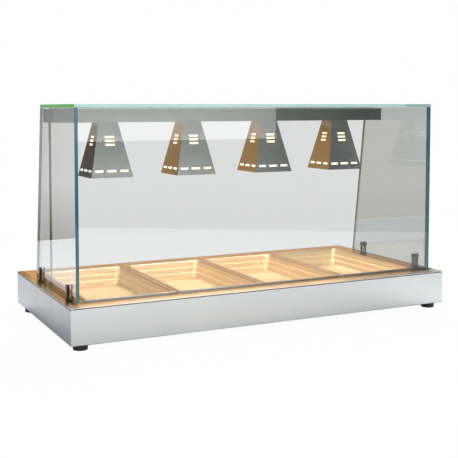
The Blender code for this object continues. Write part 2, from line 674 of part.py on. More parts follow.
def build_small_fittings(amber, dark):
    """Pilot lamp and the cable gland, where the mains lead goes in."""
    pilot = lathe_mesh("pilot_lamp", [(0.0, -14.0), (5.2, -14.0), (5.2, GAP), (7.5, GAP), (7.5, 1.8),
                                      (5.6, 2.2), (4.6, 5.0), (2.6, 6.6), (0.0, 7.0)], "Y")
    add_object("pilot_lamp", pilot, amber, (PILOT_X, DECK_DEPTH, CONTROL_HEIGHT), 50)
    gland = lathe_mesh("cable_gland", [(4.5, -12.0), (8.0, -12.0), (8.0, GAP), (13.0, GAP), (13.0, 6.0),
                                       (11.0, 6.5), (11.0, 14.0), (8.0, 19.0), (4.5, 19.0)], "Y")
    add_object("cable_gland", gland, dark, (GLAND_X, DECK_DEPTH, CONTROL_HEIGHT), 30)
    floor_top = -BODY_HEIGHT + PANEL_THICKNESS + GAP + FLOOR_THICKNESS
    case_box("terminal_block", dark, (GLAND_X - 24.0, DECK_DEPTH - 60.0, floor_top + GAP),
             (GLAND_X + 36.0, DECK_DEPTH - 36.0, floor_top + GAP + 18.0))


def main():
    """Clear the scene and build every piece."""
    for item in list(bpy.data.objects):
        bpy.data.objects.remove(item)
    steel = make_material("brushed_stainless", (0.62, 0.63, 0.62), 0.32, metallic=1.0)
    lamp_steel = make_material("satin_lamp_steel", (0.45, 0.46, 0.44), 0.36, metallic=1.0)
    pan_steel = make_material("pan_stainless", (0.68, 0.66, 0.62), 0.25, metallic=1.0)
    chrome = make_material("dark_polished_clamp", (0.16, 0.14, 0.13), 0.12, metallic=1.0)
    screw_steel = make_material("screw_steel", (0.22, 0.2, 0.18), 0.25, metallic=1.0)
    element_metal = make_material("element_sheath", (0.2, 0.19, 0.18), 0.55, metallic=1.0)
    glass = make_material("clear_glass", (0.86, 0.95, 0.92), 0.02, transmission=1.0)
    bulb_glass = make_material("warm_bulb_glass", (1.0, 0.86, 0.62), 0.1, transmission=0.6)
    ceramic = make_material("white_ceramic", (0.85, 0.83, 0.78), 0.4)
    rubber = make_material("black_rubber", (0.015, 0.016, 0.018), 0.7)
    strip = make_material("grey_bond_strip", (0.6, 0.6, 0.6), 0.6)
    plastic = make_material("black_plastic", (0.02, 0.02, 0.022), 0.4)
    red_plastic = make_material("red_rocker_plastic", (0.5, 0.02, 0.015), 0.3)
    amber = make_material("amber_lens", (0.9, 0.35, 0.03), 0.15, transmission=0.5)
    plate = make_material("dial_plate_aluminium", (0.75, 0.75, 0.76), 0.4, metallic=0.8)

    build_deck(steel, rubber)
    build_panels(steel)
    build_floor_and_feet(steel, rubber)
    build_well(steel, element_metal)
    build_pans(pan_steel)
    build_glass(glass)
    build_clamps(chrome, screw_steel)
    build_beam(lamp_steel, strip)
    build_lamps(lamp_steel, ceramic, bulb_glass)
    build_thermostat(plastic, plate, plastic)
    build_switch("heat_switch", HEAT_SWITCH_X, plastic, red_plastic)
    build_switch("lamp_switch", LAMP_SWITCH_X, plastic, red_plastic)
    build_small_fittings(amber, plastic)


main()
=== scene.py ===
"""Hot food display case: fine surfaces, finishes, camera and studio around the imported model."""

import json
import logging
import math
from dataclasses import dataclass, replace
from enum import Enum
from typing import Any, Callable, Iterable, Optional, Sequence, Union

import bmesh
import bpy
from mathutils import Matrix, Vector

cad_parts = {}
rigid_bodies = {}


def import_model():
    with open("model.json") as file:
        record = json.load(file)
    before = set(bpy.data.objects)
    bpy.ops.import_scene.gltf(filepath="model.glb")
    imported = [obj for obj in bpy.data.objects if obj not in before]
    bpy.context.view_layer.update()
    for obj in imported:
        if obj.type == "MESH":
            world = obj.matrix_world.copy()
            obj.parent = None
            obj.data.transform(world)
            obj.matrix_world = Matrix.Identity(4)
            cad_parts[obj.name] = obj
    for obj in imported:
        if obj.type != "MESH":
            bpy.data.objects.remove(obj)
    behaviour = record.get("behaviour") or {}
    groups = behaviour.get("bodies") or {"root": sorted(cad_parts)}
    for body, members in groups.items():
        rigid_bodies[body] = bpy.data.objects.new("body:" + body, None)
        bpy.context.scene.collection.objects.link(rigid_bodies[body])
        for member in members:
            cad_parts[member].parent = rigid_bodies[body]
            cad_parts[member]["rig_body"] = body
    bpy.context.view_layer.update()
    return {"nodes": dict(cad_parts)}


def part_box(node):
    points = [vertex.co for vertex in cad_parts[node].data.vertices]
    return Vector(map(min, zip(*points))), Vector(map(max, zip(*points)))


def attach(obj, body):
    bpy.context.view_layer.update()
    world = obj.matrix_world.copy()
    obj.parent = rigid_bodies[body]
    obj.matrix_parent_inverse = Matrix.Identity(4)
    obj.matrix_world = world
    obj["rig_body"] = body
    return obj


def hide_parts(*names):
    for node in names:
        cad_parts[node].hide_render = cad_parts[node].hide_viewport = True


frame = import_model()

LOG = logging.getLogger("display_case")
MM = 0.001
PAN_COUNT = 4
LAMP_COUNT = 4
GRAIN_DEPTH = 0.00006


class Axis(Enum):
    """A world axis, with its number in a vector."""

    X = 0
    Y = 1
    Z = 2

    @property
    def vector(self) -> Vector:
        """The axis as a unit vector."""
        return Vector([1.0 if self.value == index else 0.0 for index in range(3)])


# ---------------------------------------------------------------------------------------------
# Shader boards
# ---------------------------------------------------------------------------------------------

Value = Union[float, "Signal"]


class Signal:
    """A single-number socket that takes part in Python expressions."""

    def __init__(self, board: "Board", socket: bpy.types.NodeSocket) -> None:
        """Wrap a socket of one of the board's nodes."""
        self.board = board
        self.socket = socket

    def maths(self, operation: str, first: Value, second: Value = 0.0, clamp: bool = False) -> "Signal":
        """Add one Math node.

        Args:
            operation: the Math node's operation.
            first: its first value or link.
            second: its second value or link.
            clamp: whether the result is kept between 0 and 1.

        Returns:
            The node's result.
        """
        settings = {"operation": operation, "use_clamp": clamp}
        return self.board.node("ShaderNodeMath", settings, {0: first, 1: second})

    def __add__(self, other: Value) -> "Signal":
        """Sum."""
        return self.maths("ADD", self, other)

    def __radd__(self, other: Value) -> "Signal":
        """Sum with a number on the left."""
        return self.maths("ADD", other, self)

    def __sub__(self, other: Value) -> "Signal":
        """Difference."""
        return self.maths("SUBTRACT", self, other)

    def __rsub__(self, other: Value) -> "Signal":
        """Difference with a number on the left."""
        return self.maths("SUBTRACT", other, self)

    def __mul__(self, other: Value) -> "Signal":
        """Product."""
        return self.maths("MULTIPLY", self, other)

    def __rmul__(self, other: Value) -> "Signal":
        """Product with a number on the left."""
        return self.maths("MULTIPLY", other, self)

    def __truediv__(self, other: Value) -> "Signal":
        """Quotient."""
        return self.maths("DIVIDE", self, other)

    def __pow__(self, other: Value) -> "Signal":
        """Power."""
        return self.maths("POWER", self, other)

    def clamped(self) -> "Signal":
        """The same value kept between 0 and 1."""
        return self.maths("ADD", self, 0.0, clamp=True)

    def rise(self, low: float, high: float) -> "Signal":
        """0 below low, 1 above high, straight between.

        Args:
            low: where the rise starts.
            high: where it ends.

        Returns:
            The clamped share.
        """
        return ((self - low) / (high - low)).clamped()


class Board:
    """A material's or a world's node tree, built by calls."""

    def __init__(self, tree: bpy.types.NodeTree) -> None:
        """Start from an empty tree."""
        self.tree = tree
        tree.nodes.clear()

    def raw(self, kind: str, settings: dict[str, Any], inputs: dict[Union[int, str], Any]) -> bpy.types.Node:
        """Add a node.

        Args:
            kind: the node's type.
            settings: its properties, set first; "stops" fills a colour ramp.
            inputs: values or links by socket name or number.

        Returns:
            The node.
        """
        node = self.tree.nodes.new(kind)
        for name, setting in settings.items():
            if name == "stops":
                ramp = node.color_ramp
                while len(ramp.elements) < len(setting):
                    ramp.elements.new(1.0)
                for element, (place, colour) in zip(ramp.elements, setting):
                    element.position = place
                    element.color = (*colour, 1.0)
            else:
                setattr(node, name, setting)
        for key, content in inputs.items():
            socket = node.inputs[key]
            if isinstance(content, Signal):
                self.tree.links.new(content.socket, socket)
            elif isinstance(content, bpy.types.NodeSocket):
                self.tree.links.new(content, socket)
            else:
                socket.default_value = content
        return node

    def node(self, kind: str, settings: dict[str, Any], inputs: dict[Union[int, str], Any],
             output: Union[int, str] = 0) -> Signal:
        """Add a node and wrap one of its outputs.

        Args:
            kind: the node's type.
            settings: its properties.
            inputs: values or links by socket name or number.
            output: which output to wrap.

        Returns:
            The wrapped output.
        """
        return Signal(self, self.raw(kind, settings, inputs).outputs[output])

    def place(self, scale: Sequence[float]) -> Signal:
        """Object coordinates, scaled for a pattern."""
        coords = self.raw("ShaderNodeTexCoord", {}, {}).outputs["Object"]
        return self.node("ShaderNodeMapping", {}, {"Vector": coords, "Scale": tuple(scale)})

    def part(self, axis: Axis, centre: float = 0.0) -> Signal:
        """One of the object coordinates.

        Args:
            axis: which coordinate.
            centre: where it is measured from, in metres.

        Returns:
            The distance in metres.
        """
        coords = self.raw("ShaderNodeTexCoord", {}, {}).outputs["Object"]
        split = self.raw("ShaderNodeSeparateXYZ", {}, {0: coords})
        return Signal(self, split.outputs[axis.value]) - centre

    def noise(self, scale: float, stretch: Sequence[float] = (1.0, 1.0, 1.0), detail: float = 3.0,
              roughness: float = 0.55) -> Signal:
        """Noise on stretched object coordinates.

        Args:
            scale: the pattern's scale.
            stretch: a further scale for each axis.
            detail: how many finer layers it has.
            roughness: how strong the finer layers are.

        Returns:
            The noise, between 0 and 1.
        """
        inputs = {"Vector": self.place(stretch), "Scale": scale, "Detail": detail, "Roughness": roughness}
        return self.node("ShaderNodeTexNoise", {}, inputs)

    def blend(self, share: Value, first: Any, second: Any) -> bpy.types.NodeSocket:
        """Mix two colours.

        Args:
            share: how much of the second colour.
            first: a colour or a colour link.
            second: a colour or a colour link.

        Returns:
            The mixed colour's socket.
        """
        def padded(colour: Any) -> Any:
            """A colour with its alpha, or the link as it is."""
            return colour if isinstance(colour, bpy.types.NodeSocket) else (*colour, 1.0)

        inputs = {0: share, 6: padded(first), 7: padded(second)}
        return self.raw("ShaderNodeMix", {"data_type": "RGBA"}, inputs).outputs[2]

    def bump(self, height: Signal, strength: float, distance: float) -> bpy.types.NodeSocket:
        """A Bump node's normal from a height."""
        inputs = {"Height": height, "Strength": strength, "Distance": distance}
        return self.raw("ShaderNodeBump", {}, inputs).outputs["Normal"]


def principled(board: Board, **inputs: Any) -> bpy.types.NodeSocket:
    """A Principled shader; keywords are its sockets' names with _ for a space."""
    named = {name.replace("_", " "): content for name, content in inputs.items()}
    return board.raw("ShaderNodeBsdfPrincipled", {}, named).outputs[0]


def new_material(name: str, draw: Callable[[Board], bpy.types.NodeSocket]) -> bpy.types.Material:
    """Make a material whose surface a function draws.

    Args:
        name: the material's name.
        draw: builds the nodes and returns the surface shader.

    Returns:
        The material.
    """
    material = bpy.data.materials.new(name)
    material.use_nodes = True
    board = Board(material.node_tree)
    board.raw("ShaderNodeOutputMaterial", {}, {"Surface": draw(board)})
    return material


# ---------------------------------------------------------------------------------------------
# Finishes
# ---------------------------------------------------------------------------------------------

@dataclass(frozen=True)
class Finish:
    """A named finish; each kind draws its own nodes."""

    name: str

    def draw(self, board: Board) -> bpy.types.NodeSocket:
        """Build the finish's nodes.

        Args:
            board: the material's node tree.

        Returns:
            The surface shader.
        """
        raise NotImplementedError

    def make(self) -> bpy.types.Material:
        """The finish as a material."""
        return new_material(self.name, self.draw)


@dataclass(frozen=True)
class BrushedSteel(Finish):
    """Sheet steel with a straight grain, faint smudges and uneven gloss."""

    colour: tuple[float, float, float]
    grain: Axis = Axis.X
    roughness: float = 0.32
    spread: float = 0.10
    scratch: float = 0.25
    tone: float = 0.06

    def draw(self, board: Board) -> bpy.types.NodeSocket:
        """Grain lines run along one axis; clouds vary the gloss.

        Args:
            board: the material's node tree.

        Returns:
            The surface shader.
        """
        stretch = [900.0, 900.0, 900.0]
        stretch[self.grain.value] = 6.0
        lines = board.noise(1.0, stretch, detail=2.0)
        clouds = board.noise(5.0, detail=4.0)
        wipe = board.noise(14.0, (1.0, 1.0, 0.3), detail=2.0)
        dark = tuple(part * (1.0 - self.tone) for part in self.colour)
        light = tuple(min(1.0, part * (1.0 + self.tone)) for part in self.colour)
        shade = (lines * 0.7 + clouds * 0.3).rise(0.3, 0.7)
        rough = (clouds * 0.5 + wipe * 0.2 + lines * 0.5 - 0.6) * self.spread + self.roughness
        return principled(board, Base_Color=board.blend(shade, dark, light), Metallic=1.0,
                          Roughness=rough.clamped(),
                          Normal=board.bump(lines, self.scratch, GRAIN_DEPTH))


@dataclass(frozen=True)
class DeckSteel(BrushedSteel):
    """Brushed sheet with painted light: a painted highlight outside the panes, painted shade beside them at
    the rear, and a painted grey reflection just behind the front pane.
    """

    # pale is a painted highlight, dull a painted shade and shaded a painted grey reflection
    pale: tuple[float, float, float] = (0.96, 0.9, 0.8)
    dull: tuple[float, float, float] = (0.22, 0.19, 0.16)
    shaded: tuple[float, float, float] = (0.34, 0.38, 0.41)
    shaded_from: float = -0.264
    pane_front: float = -0.303
    pane_left: float = -0.7
    fade_from: float = 0.26
    fade_to: float = -0.02

    def draw(self, board: Board) -> bpy.types.NodeSocket:
        """A painted highlight in front of the panes; beside them on the left it turns to painted shade
        towards the rear.

        Args:
            board: the material's node tree.

        Returns:
            The surface shader.
        """
        across, along = board.part(Axis.X), board.part(Axis.Y)
        lines = board.noise(1.0, (6.0, 900.0, 900.0), detail=2.0)
        clouds = board.noise(5.0, detail=4.0)
        streaks = (lines * 0.7 + clouds * 0.3).rise(0.3, 0.7)
        between = board.blend(streaks, tuple(part * 0.93 for part in self.colour), self.colour)
        # beside the left pane: painted shade at the rear turning to a painted highlight at the front
        beside = board.blend(along.rise(self.fade_from, self.fade_to), self.dull, self.pale)
        # painted grey reflection on the strip just behind the front pane
        between = board.blend(along.rise(self.shaded_from, self.shaded_from - 0.004), between, self.shaded)
        colour = board.blend(across.rise(self.pane_left, self.pane_left - 0.006), between, beside)
        # painted highlight on the strip in front of the panes
        front = along.rise(self.pane_front, self.pane_front - 0.004)
        colour = board.blend(front * (streaks * 0.15 + 0.85), colour, self.pale)
        rough = (clouds * 0.5 + lines * 0.5 - 0.5) * self.spread + front * 0.1 + self.roughness
        return principled(board, Base_Color=colour, Metallic=1.0,
                          Roughness=rough.clamped(), Normal=board.bump(lines, self.scratch, GRAIN_DEPTH))


@dataclass(frozen=True)
class PanSteel(BrushedSteel):
    """Pressed pan steel whose bottom is painted darker: painted shade on the pan floor."""

    bottom: tuple[float, float, float] = (0.44, 0.33, 0.165)
    bottom_level: float = 0.09

    def draw(self, board: Board) -> bpy.types.NodeSocket:
        """The painted shade fills the bottom and thins out up the walls; clouds break it up.

        Args:
            board: the material's node tree.

        Returns:
            The surface shader.
        """
        lines = board.noise(1.0, (6.0, 700.0, 700.0), detail=2.0)
        clouds = board.noise(9.0, detail=4.0)
        height = board.part(Axis.Z, self.bottom_level)
        # painted shade over the pan's floor, thinning up the walls
        tint = (height.rise(0.012, 0.0) * (clouds * 0.5 + 0.72)).clamped()
        light = board.blend((lines * 0.5 + clouds * 0.5).rise(0.3, 0.7),
                            tuple(part * 0.95 for part in self.colour), self.colour)
        rough = (clouds * 0.5 + lines * 0.5 - 0.5) * self.spread + self.roughness
        return principled(board, Base_Color=board.blend(tint, light, self.bottom), Metallic=1.0,
                          Roughness=rough.clamped(), Normal=board.bump(lines, self.scratch, GRAIN_DEPTH))


@dataclass(frozen=True)
class PolishedMetal(Finish):
    """Smooth plated metal with fine haze and a little wear."""

    colour: tuple[float, float, float]
    roughness: float = 0.1

    def draw(self, board: Board) -> bpy.types.NodeSocket:
        """Haze in the gloss and slight darkening.

        Args:
            board: the material's node tree.

        Returns:
            The surface shader.
        """
        haze = board.noise(60.0, detail=4.0)
        worn = tuple(part * 0.8 for part in self.colour)
        colour = board.blend(haze.rise(0.35, 0.7), worn, self.colour)
        return principled(board, Base_Color=colour, Metallic=1.0,
                          Roughness=haze * 0.12 + self.roughness - 0.05,
                          Normal=board.bump(board.noise(300.0), 0.05, 0.0001))


@dataclass(frozen=True)
class Moulded(Finish):
    """Rubber, plastic or ceramic with a fine moulded grain."""

    colour: tuple[float, float, float]
    roughness: float = 0.5
    grain: float = 700.0
    depth: float = 0.12
    coat: float = 0.0

    def draw(self, board: Board) -> bpy.types.NodeSocket:
        """Pebble grain with dust in the tone.

        Args:
            board: the material's node tree.

        Returns:
            The surface shader.
        """
        pebbles = board.noise(self.grain, detail=2.0)
        dust = board.noise(22.0, detail=4.0)
        light = tuple(min(1.0, part * 1.25 + 0.006) for part in self.colour)
        return principled(board, Base_Color=board.blend(dust.rise(0.4, 0.75), self.colour, light),
                          Roughness=(dust * 0.2 + self.roughness - 0.1).clamped(), Coat_Weight=self.coat,
                          Normal=board.bump(pebbles, self.depth, 0.0003))


@dataclass(frozen=True)
class PaneFace(Finish):
    """The clear face of a pane: see-through, with the gloss of its angle to the eye."""

    tint: tuple[float, float, float]
    floor_gloss: float = 0.04

    def draw(self, board: Board) -> bpy.types.NodeSocket:
        """A mirror film over clear tint; the film grows towards grazing angles.

        Args:
            board: the material's node tree.

        Returns:
            The surface shader.
        """
        facing = board.node("ShaderNodeLayerWeight", {}, {"Blend": 0.5}, "Facing")
        film = (facing ** 5.0 * (1.0 - self.floor_gloss) + self.floor_gloss).clamped()
        wipe = board.noise(3.0, detail=3.0)
        gloss = principled(board, Base_Color=(1.0, 1.0, 1.0, 1.0), Metallic=1.0, Roughness=wipe * 0.02)
        clear = board.raw("ShaderNodeBsdfTransparent", {}, {"Color": (*self.tint, 1.0)}).outputs[0]
        return board.raw("ShaderNodeMixShader", {}, {0: film, 1: clear, 2: gloss}).outputs[0]


@dataclass(frozen=True)
class PaneEdge(Finish):
    """A pane's polished edge, which gathers the green of the glass."""

    deep: tuple[float, float, float]
    pale: tuple[float, float, float]
    along: Axis = Axis.Z
    glow: float = 0.0
    deep_from: Optional[float] = None

    def draw(self, board: Board) -> bpy.types.NodeSocket:
        """Slow streaks from deep to pale green under a clear gloss, with painted shade past a set place and a
        painted glow where one is given.

        Args:
            board: the material's node tree.

        Returns:
            The surface shader.
        """
        stretch = [40.0, 40.0, 40.0]
        stretch[self.along.value] = 3.0
        streaks = board.noise(1.0, stretch, detail=3.0)
        colour = board.blend(streaks.rise(0.3, 0.75), self.deep, self.pale)
        # painted shade: the edge is darker beyond a set place along it
        if self.deep_from is not None:
            end = board.part(self.along, self.deep_from).rise(0.0, 0.006)
            colour = board.blend(end, colour, tuple(part * 0.72 for part in self.deep))
        # any emission here is a painted glow on the glass edge
        return principled(board, Base_Color=colour, Roughness=streaks * 0.1 + 0.12, Coat_Weight=0.25,
                          Emission_Color=colour, Emission_Strength=self.glow)


@dataclass(frozen=True)
class BulbGlow(Finish):
    """A reflector bulb: a lit frosted face below, a silvered back above a given height."""

    rim_height: float
    face: tuple[float, float, float] = (1.0, 0.83, 0.56)
    strength: float = 5.0

    def draw(self, board: Board) -> bpy.types.NodeSocket:
        """The face glows; the silvered back is a dull mirror with a faint glow.

        Args:
            board: the material's node tree.

        Returns:
            The surface shader.
        """
        up = board.part(Axis.Z, self.rim_height)
        back = up.rise(0.0, 0.006)
        frost = board.noise(120.0, detail=3.0)
        lit = board.blend(frost.rise(0.2, 0.8), self.face, (1.0, 0.9, 0.7))
        glow = board.blend(back, lit, (0.5, 0.32, 0.13))
        return principled(board, Base_Color=board.blend(back, (1.0, 0.93, 0.8), (0.75, 0.73, 0.7)),
                          Metallic=back, Roughness=frost * 0.2 + 0.2, Emission_Color=glow,
                          Emission_Strength=self.strength)


@dataclass(frozen=True)
class GlowingEnamel(Finish):
    """White enamel inside a shade with a painted glow in place of the bulb's light: pale near the mouth and
    amber near the top.
    """

    low: float = 0.5
    high: float = 0.7
    # pale and amber are the colours of the painted glow
    pale: tuple[float, float, float] = (1.0, 0.93, 0.76)
    amber: tuple[float, float, float] = (1.0, 0.52, 0.16)
    strength: float = 1.3
    first: float = -0.5
    pitch: float = 0.32

    def draw(self, board: Board) -> bpy.types.NodeSocket:
        """The painted glow turns from pale to amber with height and towards each lamp's right.

        Args:
            board: the material's node tree.

        Returns:
            The surface shader.
        """
        rise = board.part(Axis.Z, self.low).rise(0.02, self.high - self.low - 0.04)
        across = board.part(Axis.X, self.first - self.pitch * 1.5)
        right = (across.maths("MODULO", across, self.pitch) - self.pitch / 2).rise(0.0, 0.05)
        clouds = board.noise(38.0, detail=2.0)
        share = (rise * 0.7 + right * 0.6 + clouds * 0.5 - 0.35).clamped()
        colour = board.blend(share, self.pale, self.amber)
        # the emission is a painted glow in place of the bulb's light on the enamel
        return principled(board, Base_Color=(0.85, 0.82, 0.75, 1.0), Roughness=clouds * 0.1 + 0.3,
                          Emission_Color=colour, Emission_Strength=self.strength)


@dataclass(frozen=True)
class Lens(Finish):
    """A small coloured lens, lit from behind."""

    colour: tuple[float, float, float]
    glow: float = 0.6

    def draw(self, board: Board) -> bpy.types.NodeSocket:
        """Ribbed colour with a soft inner glow.

        Args:
            board: the material's node tree.

        Returns:
            The surface shader.
        """
        ribs = board.noise(900.0, (1.0, 0.05, 1.0))
        deep = tuple(part * 0.6 for part in self.colour)
        colour = board.blend(ribs, deep, self.colour)
        return principled(board, Base_Color=colour, Roughness=ribs * 0.1 + 0.1, Coat_Weight=0.5,
                          Emission_Color=colour, Emission_Strength=self.glow)


# ---------------------------------------------------------------------------------------------
# Shared modelling steps
# ---------------------------------------------------------------------------------------------

def merged_copy(node: str) -> bmesh.types.BMesh:
    """A CAD node's shape with its doubles merged and its flat faces joined.

    Args:
        node: the CAD node's name.

    Returns:
        A new bmesh in world metres.
    """
    bm = bmesh.new()
    bm.from_mesh(frame["nodes"][node].data)
    bmesh.ops.remove_doubles(bm, verts=bm.verts, dist=1e-6)
    bmesh.ops.dissolve_limit(bm, angle_limit=math.radians(0.5), verts=bm.verts, edges=bm.edges)
    return bm


def round_edges(bm: bmesh.types.BMesh, width: float, segments: int = 3, sharp: float = 30.0) -> None:
    """Bevel every edge whose faces meet at more than an angle.

    Args:
        bm: the shape.
        width: the bevel's width in metres.
        segments: steps of the rounding.
        sharp: the least angle in degrees.
    """
    edges = [edge for edge in bm.edges
             if edge.is_manifold and edge.calc_face_angle(0.0) > math.radians(sharp)]
    bmesh.ops.bevel(bm, geom=edges, offset=width, segments=segments, profile=0.5, affect="EDGES",
                    material=-1, clamp_overlap=True)


def to_piece(name: str, bm: bmesh.types.BMesh, materials: Sequence[bpy.types.Material], body: str,
             stands_for: Iterable[str] = (),
             smooth: Optional[float] = None) -> bpy.types.Object:
    """Turn a finished bmesh into a piece that rides on a body.

    Args:
        name: the piece's name.
        bm: its shape in world metres; freed here.
        materials: its material slots in order.
        body: the CAD body it rides on.
        stands_for: CAD nodes it replaces.
        smooth: sharp angle in degrees for smooth shading, or None for flat faces.

    Returns:
        The new object.
    """
    mesh = bpy.data.meshes.new(name)
    bm.to_mesh(mesh)
    bm.free()
    for material in materials:
        mesh.materials.append(material)
    if smooth is not None:
        mesh.shade_smooth()
        mesh.set_sharp_from_angle(angle=math.radians(smooth))
    item = bpy.data.objects.new(name, mesh)
    bpy.context.scene.collection.objects.link(item)
    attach(item, body)
    nodes = list(stands_for)
    if nodes:
        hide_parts(*nodes)
    LOG.info("%s: %d faces on %s", name, len(mesh.polygons), body)
    return item


def dress(node: str, material: bpy.types.Material) -> None:
    """Give a CAD node that stays in view its finish.

    Args:
        node: the CAD node's name.
        material: its finish.
    """
    item = frame["nodes"][node]
    item.data.materials.clear()
    item.data.materials.append(material)
    LOG.info("%s: dressed in %s", node, material.name)


def body_of(node: str) -> str:
    """The body that a CAD node rides on."""
    return frame["nodes"][node]["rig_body"]


def softened(node: str, width: float, material: bpy.types.Material, segments: int = 3,
             sharp: float = 30.0, smooth: Optional[float] = None) -> bpy.types.Object:
    """Replace a CAD node by the same shape with rounded edges.

    Args:
        node: the CAD node's name.
        width: bevel width in metres.
        material: its finish.
        segments: steps of the rounding.
        sharp: the least angle of a rounded edge in degrees.
        smooth: sharp angle for smooth shading.

    Returns:
        The new piece.
    """
    bm = merged_copy(node)
    round_edges(bm, width, segments, sharp)
    return to_piece(f"{node}_fine", bm, [material], body_of(node), [node], smooth)


# ---------------------------------------------------------------------------------------------
# Sub-assemblies
# ---------------------------------------------------------------------------------------------

@dataclass
class Base:
    """The folded steel base with its deck, seal, floor and feet."""

    panel_edge: float = 1.2 * MM
    deck_edge: float = 0.7 * MM
    foot_edge: float = 1.5 * MM
    fold_radius: float = 2.6 * MM
    long_steel: BrushedSteel = BrushedSteel("panel_steel_long_grain", (0.63, 0.645, 0.635), Axis.X, 0.26)
    # The side panels' steel is a darker copy of the front panel's: painted shade.
    side_steel: BrushedSteel = BrushedSteel("panel_steel_side_grain_painted_shade", (0.29, 0.31, 0.33), Axis.Y, 0.27)
    # Near-black steel for the lower fold: painted shadow.
    fold_steel: BrushedSteel = BrushedSteel("fold_steel", (0.045, 0.05, 0.06), Axis.X, 0.5)
    # The deck's warm colour is painted lamplight over grey steel.
    deck_steel: DeckSteel = DeckSteel("deck_steel", (0.62, 0.53, 0.4), Axis.X, 0.24)
    rubber: Moulded = Moulded("foot_rubber", (0.012, 0.014, 0.018), 0.55)
    seal_rubber: Moulded = Moulded("seal_rubber", (0.02, 0.019, 0.018), 0.7)

    def panel(self, node: str, steel: bpy.types.Material, fold: bpy.types.Material) -> None:
        """Build a panel whose lower fold is rounder than its face and carries a painted shadow.

        Args:
            node: the CAD node.
            steel: the face's finish.
            fold: the lower fold's finish, a painted shadow.
        """
        bm = merged_copy(node)
        low = min(vert.co.z for vert in bm.verts)
        folds = [edge for edge in bm.edges if max(vert.co.z for vert in edge.verts) < low + 1e-5
                 and any(abs(face.normal.z) < 0.1 and face.calc_area() > 0.02 for face in edge.link_faces)]
        bmesh.ops.bevel(bm, geom=folds, offset=self.fold_radius, segments=4, profile=0.5, affect="EDGES",
                        material=-1, clamp_overlap=True)
        round_edges(bm, self.panel_edge)
        # Faces looking down take the lower fold's painted shadow.
        for face in bm.faces:
            face.material_index = int(face.normal.z < -0.25)
        to_piece(f"{node}_fine", bm, [steel, fold], body_of(node), [node])

    def build(self) -> None:
        """Build and dress the base."""
        long_steel = self.long_steel.make()
        side_steel = self.side_steel.make()
        fold = self.fold_steel.make()
        for node in ("front_panel", "rear_panel"):
            self.panel(node, long_steel, fold)
        for node in ("left_panel", "right_panel"):
            self.panel(node, side_steel, fold)
        softened("deck_plate", self.deck_edge, self.deck_steel.make())
        dress("base_floor", long_steel)
        dress("deck_seal", self.seal_rubber.make())
        rubber = self.rubber.make()
        for end in ("front", "rear"):
            for side in ("left", "right"):
                softened(f"foot_{end}_{side}", self.foot_edge, rubber, sharp=50.0, smooth=40.0)


@dataclass
class Well:
    """The heated well: liner, rails and elements."""

    liner_steel: BrushedSteel = BrushedSteel("well_liner_steel", (0.5, 0.49, 0.47), Axis.X, 0.4)
    # The rails' dark warm colour is painted shade with painted lamplight in the gaps around the pans.
    rail_steel: BrushedSteel = BrushedSteel("rail_steel", (0.4, 0.35, 0.29), Axis.Y, 0.32)
    sheath: PolishedMetal = PolishedMetal("element_sheath", (0.17, 0.15, 0.14), 0.45)

    def build(self) -> None:
        """Dress the well's pieces."""
        dress("well_liner", self.liner_steel.make())
        rail = self.rail_steel.make()
        for index in (1, 2, 3):
            softened(f"pan_rail_{index}", 0.8 * MM, rail)
        sheath = self.sheath.make()
        for side in ("left", "right"):
            dress(f"heating_element_{side}", sheath)


